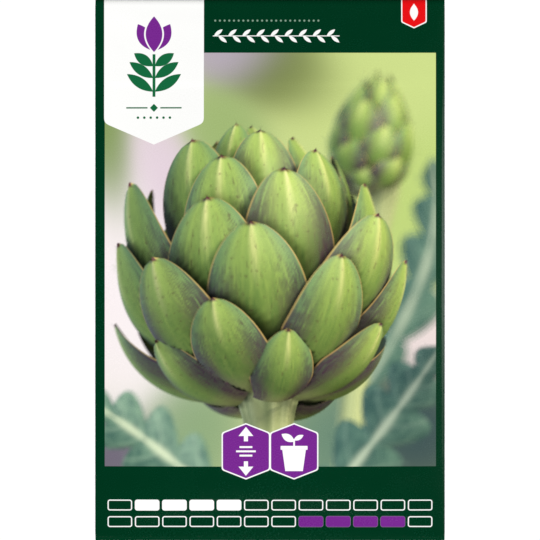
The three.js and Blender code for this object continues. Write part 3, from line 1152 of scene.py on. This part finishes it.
def print_divider(ink, x, y):
    """A fine line broken by a lozenge, over a short row of dots."""
    line = ink.bar(abs(x) - 4.0, y, half_width=2.5, half_height=0.16)
    lozenge = (abs(x) + abs(y) - 0.95) * 0.707
    ink.ink(SPRIG_GREEN, line.least(lozenge))
    print_dots(ink, x, y + 2.3, pitch=1.5, radius=0.3, beyond=abs(x) - 4.5, display=SPRIG_GREEN)


def pennant(ink, middle, half, shoulder, point, rounding):
    """Place across a pennant that hangs from the top edge, and the distance to its outline."""
    x, down = ink.x - middle, -ink.y + HALF_HEIGHT
    outline = ink.badge(x, down, half, HALF_HEIGHT - shoulder, HALF_HEIGHT - point, rounding)
    return x, outline.most(ink.y - PENNANT_TOP)


def print_banner(ink):
    """A white pennant with a plain sprig and bud over a divider."""
    x, banner = pennant(ink, BANNER_MIDDLE, BANNER_HALF, BANNER_SHOULDER, BANNER_POINT, BANNER_ROUNDING)
    ink.ink(WHITE, banner)
    print_sprig(ink, x, ink.y - BANNER_SPRIG_HEIGHT, WHITE)
    print_divider(ink, x, ink.y - BANNER_DIVIDER_HEIGHT)


def print_tag(ink):
    """A small red pennant with a white rim and one white seed."""
    x, tag = pennant(ink, TAG_MIDDLE, TAG_HALF, TAG_SHOULDER, TAG_POINT, TAG_ROUNDING)
    ink.ink(WHITE, tag)
    ink.ink(TAG_RED, tag + TAG_OUTLINE)
    ink.ink(WHITE, ink.leaf(x, ink.y, (0.0, TAG_SEED_FOOT), 90, TAG_SEED_LENGTH, TAG_SEED_HALF))


def print_vine(ink):
    """A fine vine of alternate leaves along a line, with a shorter dotted line above it."""
    from_left, y = ink.x - VINE_LEFT, ink.y - VINE_HEIGHT
    length = VINE_RIGHT - VINE_LEFT
    along = from_left.apply("FLOORED_MODULO", VINE_PITCH)
    vine = abs(y) - VINE_STEM_HALF
    for root, turn in VINE_ROOTS_AND_TURNS:
        vine = vine.least(ink.leaf(along, y, (root, 0.0), turn, VINE_LEAF, VINE_LEAF_HALF))
    ink.ink(WHITE, vine.most(abs(from_left - length / 2) - length / 2))
    half = (length - DOTS_SHORTER) / 2
    beyond = abs(from_left - half) - half
    print_dots(ink, from_left, y - DOTS_RISE, DOTS_PITCH, DOTS_RADIUS, beyond, STRIP_GREEN)


def print_height_arrows(ink, x, y):
    """Arrows up and down with the marks of a scale between them, for the plant's height."""
    from_base = abs(y) - 3.6
    heads = ink.badge(x, from_base, half=1.73, shoulder=0.0, point=2.15, rounding=0.05).most(-from_base)
    shafts = ink.bar(x, abs(y) - 3.0, half_width=0.48, half_height=0.65)
    long_mark = ink.bar(x, y, half_width=2.3, half_height=0.22)
    short_marks = ink.bar(x, abs(y) - 1.0, half_width=1.5, half_height=0.22)
    ink.ink(WHITE, heads.least(shafts).least(long_mark.least(short_marks)))


def print_potted_sprout(ink, x, y):
    """A seedling with one large and one small leaf in a tapered pot."""
    up_pot = y + 2.15
    pot = (abs(x) - up_pot * 0.14 - 2.4).most(abs(up_pot) - 2.5)
    rim = ink.bar(x, y - 0.82, half_width=3.15, half_height=0.46, rounding=0.15)
    ink.ink(WHITE, pot.least(rim))
    sprout = ink.bar(x, y - 2.0, half_width=0.2, half_height=0.9)
    sprout = sprout.least(ink.leaf(x, y, root=(0.1, 2.3), turn=150, length=3.5, half=0.85))
    sprout = sprout.least(ink.leaf(x, y, root=(-0.1, 2.6), turn=28, length=2.6, half=0.55))
    ink.ink(WHITE, sprout)


def print_hexagons(ink):
    """Two purple hexagons side by side, with white rims and plain pictograms."""
    y = ink.y - HEXAGON_HEIGHT
    either = abs(ink.x) - HEXAGON_APART
    hexagon = ink.badge(either, abs(y), HEXAGON_HALF, HEXAGON_SHOULDER, HEXAGON_POINT,
                        HEXAGON_ROUNDING)
    ink.ink(WHITE, hexagon)
    ink.ink(BADGE_PURPLE, hexagon + HEXAGON_OUTLINE)
    print_height_arrows(ink, ink.x + HEXAGON_APART, y)
    print_potted_sprout(ink, ink.x - HEXAGON_APART, y)


def print_calendar(ink, x, pitch, rows, line):
    """Rows of twelve outlined months, each with a run of them filled."""
    half = MONTHS * pitch / 2
    month = (x + half).apply("FLOORED_MODULO", pitch) - pitch / 2
    inside = abs(x) - half
    for height, (first, last), fill in rows:
        cell = ink.bar(month, ink.y - height, (pitch - MONTH_GAP) / 2, MONTH_HALF_HEIGHT, MONTH_ROUNDING)
        ink.ink(line, (abs(cell) - MONTH_LINE).most(inside))
        run = (last - first + 1) * pitch / 2
        filled = abs(x + half - (first + last + 1) * pitch / 2) - run
        ink.ink(fill, (cell - MONTH_LINE).most(filled))


def print_sun(ink, x, y):
    """A sun with eight rays."""
    radius = away(x, y)
    turn = y.apply("ARCTAN2", x).apply("FLOORED_MODULO", math.pi / 4) - math.pi / 8
    rays = (abs(turn) * radius - 0.28).most(abs(radius - 3.1) - 0.8)
    ink.ink(WHITE, rays.least(radius - 1.7))


def print_sown_seed(ink, x, y):
    """A seed below the level of the soil, under a seedling."""
    soil = abs(y + 0.2) - 0.2
    ink.ink(WHITE, soil.most(abs(x) - 3.9))
    ink.ink(WHITE, ink.leaf(x, y, root=(-1.3, -2.2), turn=0, length=2.6, half=0.7))
    sprout = ink.bar(x, y - 1.2, half_width=0.18, half_height=1.2)
    ink.ink(WHITE, sprout.least(ink.leaf(abs(x), y, root=(0.0, 1.6), turn=42, length=2.9, half=0.65)))


def print_drop(ink, x, y):
    """A drop of water."""
    bulb = away(x, y + 0.9) - 1.9
    ink.ink(WHITE, bulb.least(ink.leaf(x, y, root=(0.0, -2.6), turn=90, length=6.2, half=1.75)))


def print_pictograms(ink, x, y):
    """Three round purple signs for light, sowing and water."""
    signs = ((-PICTOGRAM_PITCH, print_sun), (0.0, print_sown_seed), (PICTOGRAM_PITCH, print_drop))
    for place, sign in signs:
        ink.ink(BADGE_PURPLE, away(x - place, y) - PICTOGRAM_RADIUS)
        sign(ink, x - place, y)


def print_note_lines(ink, x):
    """Fine lines to write on."""
    below = -ink.y + NOTE_TOP
    line = abs(below.apply("FLOORED_MODULO", NOTE_PITCH) - NOTE_PITCH / 2) - NOTE_LINE_HALF
    block = abs(below - NOTE_LINES * NOTE_PITCH / 2) - NOTE_LINES * NOTE_PITCH / 2
    ink.ink(SPRIG_GREEN, line.most(block).most(abs(x) - NOTE_HALF_WIDTH))


def print_back(ink):
    """A pale panel on the back with a sprig, a calendar, growing signs and lines for notes."""
    x = ink.x - BACK_PANEL_MIDDLE
    ink.ink(BACK_CREAM, ink.bar(x, ink.y - BACK_HEIGHT, BACK_HALF_WIDTH, BACK_HALF_HEIGHT, BACK_ROUNDING))
    print_sprig(ink, x, ink.y - BACK_SPRIG_HEIGHT, BACK_CREAM)
    rows = ((BACK_CALENDAR_HEIGHT, SOWING_MONTHS, SPRIG_GREEN),
            (BACK_CALENDAR_HEIGHT + HARVEST_ROW - SOWING_ROW, HARVEST_MONTHS, BADGE_PURPLE))
    print_calendar(ink, x, BACK_MONTH_PITCH, rows, SPRIG_GREEN)
    print_pictograms(ink, x, ink.y - PICTOGRAM_HEIGHT)
    print_note_lines(ink, x)


def fold_wear(tree, x, y):
    """Share of bare fibre along the worn folds."""
    beside_side = abs(abs(x) - (PANEL_HALF_WIDTH + FOLD / 2))
    beside_end = abs(abs(y) - (PANEL_HALF_HEIGHT + END_FOLD / 2)).most(abs(x) - BACK_START)
    near = between(beside_side.least(beside_end), *WEAR_REACH)
    corner = between(beside_side.most(beside_end), *WEAR_CORNER)
    patchy = between(noise(tree, scale=260.0, detail=4.0) + corner * 0.25, 0.66, 0.86)
    rough = between(noise(tree, scale=2400.0), 0.40, 0.62)
    return near * patchy * rough


def start_material(name):
    """A material with its tree and its Principled shader."""
    material = bpy.data.materials.new(name)
    material.use_nodes = True
    return material, material.node_tree, material.node_tree.nodes["Principled BSDF"]


def add_bump(tree, shader, height, strength, depth):
    bump = new_node(tree, "ShaderNodeBump", {"Height": height, "Strength": strength, "Distance": depth})
    plug(tree, shader.inputs["Normal"], Value(tree, bump.outputs["Normal"]))


def add_tooth(tree, shader, roughness, spread, depth):
    """Paper tooth in the roughness and in the normal of a shader, with its broad mottle as the result."""
    tooth, broad = placed(TOOTH, tree, TOOTH_SCALE)
    plug(tree, shader.inputs["Roughness"], (tooth - 0.5) * spread + (broad - 0.5) * spread + roughness)
    add_bump(tree, shader, tooth, strength=0.25, depth=depth)
    return broad


def printed_paper():
    """Coated paper with an offset print under a satin varnish."""
    material, tree, shader = start_material("printed_paper")
    blank = new_node(tree, "ShaderNodeUVMap", uv_map="blank")
    parts = new_node(tree, "ShaderNodeSeparateXYZ", {"Vector": Value(tree, blank.outputs["UV"])})
    x = Value(tree, parts.outputs["X"]) * (BLANK_RIGHT - BLANK_LEFT) + BLANK_LEFT
    y = Value(tree, parts.outputs["Y"]) * (BLANK_HIGH - BLANK_LOW) + BLANK_LOW
    broad = add_tooth(tree, shader, roughness=0.27, spread=0.06, depth=0.00002)
    ground = mixed(tree, rgba(GROUND_GREEN), rgba(GROUND_GREEN_LIGHT), broad)
    ink = Print(tree, x, y, ground)
    print_window(ink)
    print_banner(ink)
    print_tag(ink)
    print_vine(ink)
    print_hexagons(ink)
    rows = ((SOWING_ROW, SOWING_MONTHS, WHITE), (HARVEST_ROW, HARVEST_MONTHS, BADGE_PURPLE))
    print_calendar(ink, ink.x, MONTH_PITCH, rows, WHITE)
    print_back(ink)
    worn = mixed(tree, ink.colour, rgba(WORN_FIBRE), fold_wear(tree, x, y) * WEAR_SHARE)
    plug(tree, shader.inputs["Base Color"], worn)
    return material


def bare_paper():
    """Uncoated white inside of the paper, and its cut edges."""
    material, tree, shader = start_material("bare_paper")
    broad = add_tooth(tree, shader, roughness=0.8, spread=0.15, depth=0.00003)
    white = mixed(tree, rgba(PAPER_WHITE), rgba(PAPER_WHITE_LIGHT), broad)
    plug(tree, shader.inputs["Base Color"], white)
    return material


def dried_glue():
    """Thin amber film of dried adhesive with small bubbles."""
    material, tree, shader = start_material("dried_glue")
    streak = noise(tree, scale=300.0, detail=3.0)
    colour = mixed(tree, rgba(GLUE_AMBER), rgba(GLUE_PALE), between(streak, 0.35, 0.65))
    feed(tree, shader, {"Base Color": colour, "Roughness": streak * 0.2 + 0.25})
    return material


def seed_coat():
    """Dry grey-brown seed coat, streaked and speckled with dark brown."""
    material, tree, shader = start_material("seed_coat")
    streaks = between(noise(tree, scale=900.0, detail=4.0), 0.40, 0.66)
    ground = mixed(tree, rgba(SEED_TAN), rgba(SEED_BROWN), noise(tree, scale=260.0))
    colour = mixed(tree, ground, rgba(SEED_STREAK), streaks * 0.75)
    feed(tree, shader, {"Base Color": colour, "Roughness": streaks * 0.2 + 0.45})
    add_bump(tree, shader, streaks, strength=0.3, depth=0.00008)
    return material


def dress_inside_pieces():
    """Gives the seeds and the glue lines, which keep their CAD shape, their own finish."""
    glue, coat = dried_glue(), seed_coat()
    for name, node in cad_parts.items():
        if name.startswith("glue"):
            node.material_slots[0].material = glue
        elif name.startswith("seed"):
            node.material_slots[0].material = coat


# Floor, light and camera, in metres

def make_floor():
    choose()
    bpy.ops.mesh.primitive_plane_add(size=6.0)
    floor = bpy.context.active_object
    floor.name = "floor"
    material, tree, shader = start_material("pale_floor")
    shade = mixed(tree, rgba(FLOOR_GREY), rgba(FLOOR_WHITE), noise(tree, scale=3.0))
    feed(tree, shader, {"Base Color": shade, "Roughness": 0.9, "Specular IOR Level": 0.1})
    floor.data.materials.append(material)
    floor.visible_glossy = False


def add_light(data, place, diffuse, glossy):
    """Puts a light in place, turned to the packet, and chooses what it lights."""
    light = bpy.data.objects.new(data.name, data)
    light.location = place
    light.rotation_euler = (-Vector(place)).to_track_quat("-Z", "Y").to_euler()
    light.visible_diffuse = diffuse
    light.visible_glossy = glossy
    light.visible_camera = False
    bpy.context.collection.objects.link(light)


def make_main_light():
    """Soft, even light from above and a little from the packet's lower end."""
    data = bpy.data.lights.new("main_light", "SUN")
    data.energy = 3.54
    data.angle = math.radians(16)
    add_light(data, (0.0, -0.45, 1.0), diffuse=True, glossy=False)


def make_sheen_light(name, place, width, length, power):
    """A weak strip that shows only as a sheen on the varnish."""
    data = bpy.data.lights.new(name, "AREA")
    data.shape = "RECTANGLE"
    data.size = width
    data.size_y = length
    data.energy = power
    add_light(data, place, diffuse=False, glossy=True)


def make_lights():
    make_main_light()
    make_sheen_light("side_sheen", (0.27, 0.005, 0.12), width=0.07, length=0.22, power=0.155)
    make_sheen_light("border_sheen", (0.33, 0.005, 0.75), width=0.08, length=0.3, power=0.045)
    make_sheen_light("lower_sheen", (0.0, -0.62, 0.85), width=0.7, length=0.10, power=0.045)
    world = bpy.data.worlds.new("studio")
    world.use_nodes = True
    background = world.node_tree.nodes["Background"]
    feed(world.node_tree, background, {"Color": (1.0, 1.0, 1.0, 1.0), "Strength": 0.04})
    bpy.context.scene.world = world
    world.cycles_visibility.glossy = False


def make_camera():
    """Looks straight down on the packet, whose ends lie a hair outside the frame."""
    data = bpy.data.cameras.new("camera")
    data.lens = 200.0
    data.sensor_width = 36.0
    camera = bpy.data.objects.new("camera", data)
    distance = (HALF_HEIGHT - FRAME_TRIM) / (data.sensor_width / 2 / data.lens)
    camera.location = (0.0, 0.0, (distance + END_HEIGHT) * MILLIMETRE)
    bpy.context.collection.objects.link(camera)
    bpy.context.scene.camera = camera
    bpy.context.scene.view_settings.view_transform = "Standard"


make_camera()
make_lights()
make_floor()
dress_inside_pieces()
packet = make_packet()
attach(packet, "root")
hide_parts("paper_packet")
